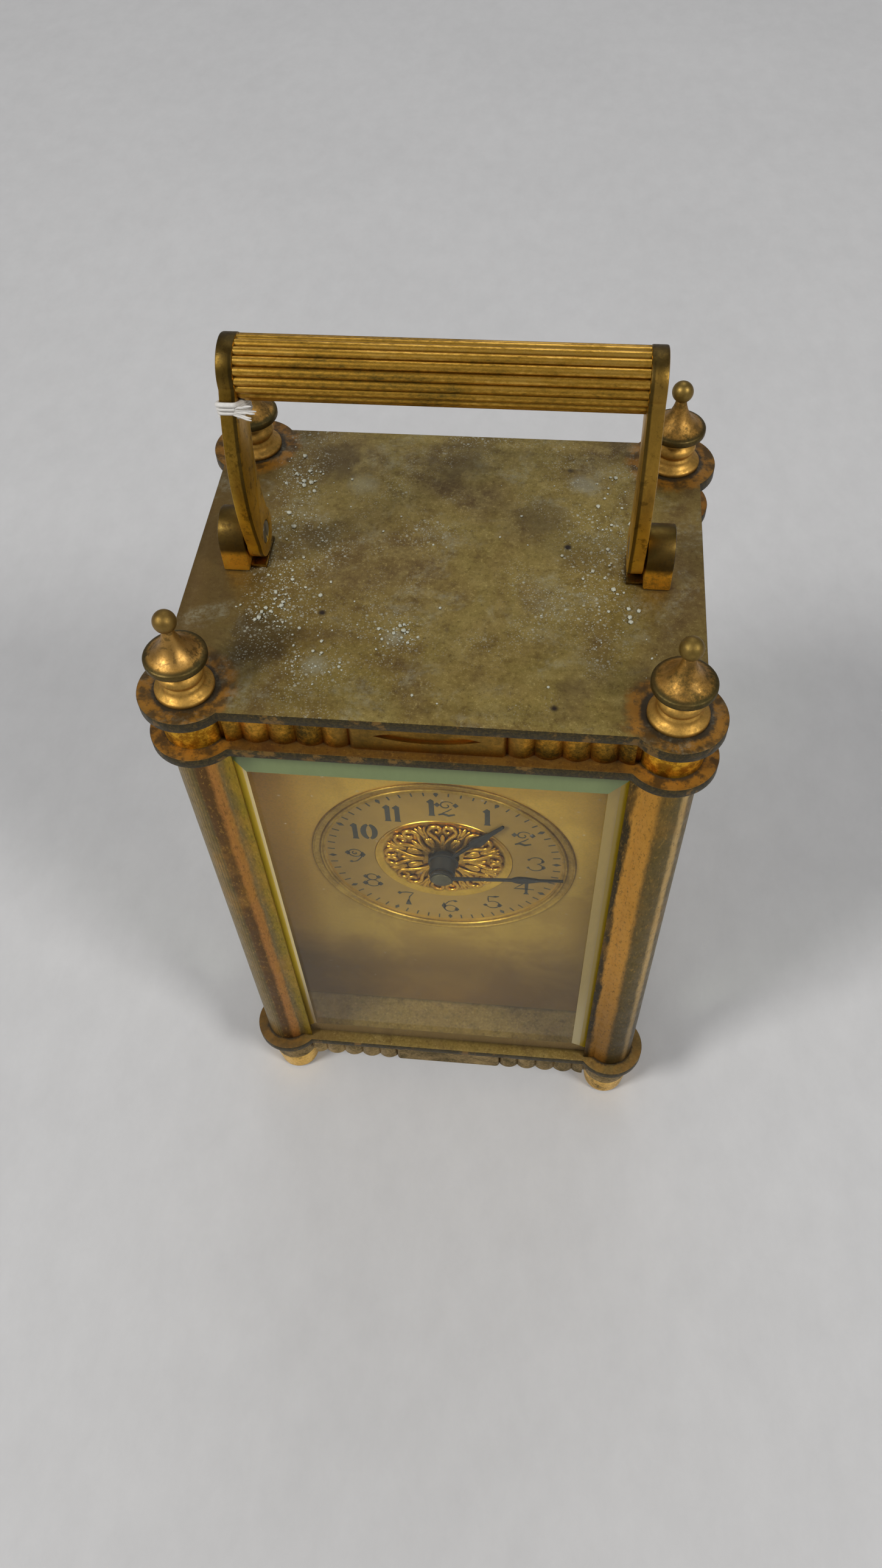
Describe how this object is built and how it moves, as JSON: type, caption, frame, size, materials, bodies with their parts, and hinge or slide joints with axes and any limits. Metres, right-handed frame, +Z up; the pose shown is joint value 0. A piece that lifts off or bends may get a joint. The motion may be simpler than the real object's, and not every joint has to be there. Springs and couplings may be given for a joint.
{
  "type": "carriage clock",
  "caption": "Brass carriage clock: glazed case with round corner columns, reeded mouldings and turned finials, folding handle, back door and a spring-driven lever movement.",
  "frame": {"origin": "on the table under the middle of the case, level with the bottoms of the feet", "axes": "+Z up, +X to the right of someone facing the dial, -Y out through the dial and front glass"},
  "size_m": [0.0864, 0.07, 0.1712],
  "materials": {
    "gilt_brass": "worn satin gilt with brown tarnish in the hollows",
    "tarnished_brass": "olive-brown tarnish, lightly dusted",
    "movement_brass": "brushed",
    "steel": "plain, slightly aged",
    "blued_steel": "blued, nearly black",
    "dial_paint": "matt tan with dark figures",
    "glass": "clear, bevelled, slightly hazy",
    "cotton": "undyed thread"
  },
  "bodies": {
    "case": {"top_plate": "tarnished_brass", "upper_frieze": "gilt_brass", "upper_rim": "tarnished_brass", "column_front_left": "gilt_brass", "column_front_right": "gilt_brass", "column_back_left": "gilt_brass", "column_back_right": "gilt_brass", "base_plate": "tarnished_brass", "base_skirt": "gilt_brass", "feet": "gilt_brass", "tie_rods": "steel", "finial_front_left": "gilt_brass", "finial_front_right": "gilt_brass", "finial_back_left": "gilt_brass", "finial_back_right": "gilt_brass", "front_glass": "glass", "left_glass": "glass", "right_glass": "glass", "door_pins": "steel", "handle_lug_left": "gilt_brass", "handle_lug_right": "gilt_brass", "handle_screws": "steel", "dial_mask": "gilt_brass", "dial_bezel": "gilt_brass", "dial": "dial_paint", "dial_centre": "gilt_brass", "front_movement_plate": "movement_brass", "back_movement_plate": "movement_brass", "pillars": "movement_brass", "movement_seats": "movement_brass", "mainspring": "blued_steel", "balance_cock": "movement_brass"},
    "rear_door": {"door_frame": "gilt_brass", "door_glass": "glass", "door_knob": "gilt_brass"},
    "handle": {"handle_grip": "gilt_brass", "handle_arm_left": "gilt_brass", "handle_arm_right": "gilt_brass", "cotton_tie": "cotton"},
    "minute_works": {"centre_arbor": "steel", "cannon_pinion": "steel", "minute_hand": "blued_steel", "hand_nut": "steel", "set_knob": "movement_brass"},
    "hour_works": {"hour_wheel": "movement_brass", "hour_hand": "blued_steel"},
    "minute_wheel": {"minute_wheel": "movement_brass"},
    "centre_wheel": {"centre_wheel": "movement_brass"},
    "great_wheel": {"great_wheel": "movement_brass"},
    "third_wheel": {"third_wheel": "movement_brass"},
    "fourth_wheel": {"fourth_wheel": "movement_brass"},
    "escape_wheel": {"escape_wheel": "movement_brass"},
    "winding_arbor": {"winding_arbor": "steel", "ratchet_wheel": "steel", "winding_key": "movement_brass"},
    "click": {"click": "steel"},
    "pallet_lever": {"pallet_lever": "steel"},
    "balance": {"balance_wheel": "movement_brass", "hairspring": "blued_steel"},
    "regulator": {"regulator": "steel"}
  },
  "joints": [
    {"name": "handle_fold", "type": "hinge", "parent": "case", "child": "handle", "pos_m": [0, 0.0006, 0.1389], "axis": [-1, 0, 0], "range_deg": [-84, 84]},
    {"name": "rear_door_hinge", "type": "hinge", "parent": "case", "child": "rear_door", "pos_m": [-0.0296, 0.02935, 0.07065], "axis": [0, 0, 1], "range_deg": [0, 105]},
    {"name": "hand_setting", "type": "hinge", "parent": "case", "child": "minute_works", "pos_m": [0, 0, 0.0782], "axis": [0, 1, 0], "continuous": true},
    {"name": "hour_hand_turn", "type": "hinge", "parent": "case", "child": "hour_works", "pos_m": [0, 0, 0.0782], "axis": [0, 1, 0], "continuous": true},
    {"name": "minute_wheel_turn", "type": "hinge", "parent": "case", "child": "minute_wheel", "pos_m": [0.00594, 0, 0.07226], "axis": [0, 1, 0], "continuous": true},
    {"name": "going_train", "type": "hinge", "parent": "case", "child": "centre_wheel", "pos_m": [0, 0, 0.0782], "axis": [0, 1, 0], "continuous": true},
    {"name": "great_wheel_turn", "type": "hinge", "parent": "case", "child": "great_wheel", "pos_m": [0, 0, 0.0593], "axis": [0, 1, 0], "continuous": true},
    {"name": "third_wheel_turn", "type": "hinge", "parent": "case", "child": "third_wheel", "pos_m": [0.01284, 0, 0.07996], "axis": [0, 1, 0], "continuous": true},
    {"name": "fourth_wheel_turn", "type": "hinge", "parent": "case", "child": "fourth_wheel", "pos_m": [0.01019, 0, 0.09051], "axis": [0, 1, 0], "continuous": true},
    {"name": "escape_wheel_turn", "type": "hinge", "parent": "case", "child": "escape_wheel", "pos_m": [0, 0, 0.0941], "axis": [0, 1, 0], "continuous": true},
    {"name": "winding", "type": "hinge", "parent": "case", "child": "winding_arbor", "pos_m": [0, 0, 0.0593], "axis": [0, 1, 0], "continuous": true},
    {"name": "click_pivot", "type": "hinge", "parent": "great_wheel", "child": "click", "pos_m": [-0.00658, 0, 0.0631], "axis": [0, 1, 0], "range_deg": [-8, 0]},
    {"name": "lever_swing", "type": "hinge", "parent": "case", "child": "pallet_lever", "pos_m": [0, 0, 0.0999], "axis": [0, 1, 0], "range_deg": [-3, 3]},
    {"name": "balance_swing", "type": "hinge", "parent": "case", "child": "balance", "pos_m": [0, 0, 0.1089], "axis": [0, 1, 0], "range_deg": [-150, 150]},
    {"name": "regulator_turn", "type": "hinge", "parent": "case", "child": "regulator", "pos_m": [0, 0, 0.1089], "axis": [0, 1, 0], "range_deg": [-20, 20]}
  ],
  "couplings": [
    {"joint": "hour_hand_turn", "follows": "hand_setting", "ratio": 0.083333},
    {"joint": "minute_wheel_turn", "follows": "hand_setting", "ratio": -0.33333},
    {"joint": "great_wheel_turn", "follows": "going_train", "ratio": -0.16667},
    {"joint": "third_wheel_turn", "follows": "going_train", "ratio": -8},
    {"joint": "fourth_wheel_turn", "follows": "going_train", "ratio": 60},
    {"joint": "escape_wheel_turn", "follows": "going_train", "ratio": -480}
  ]
}
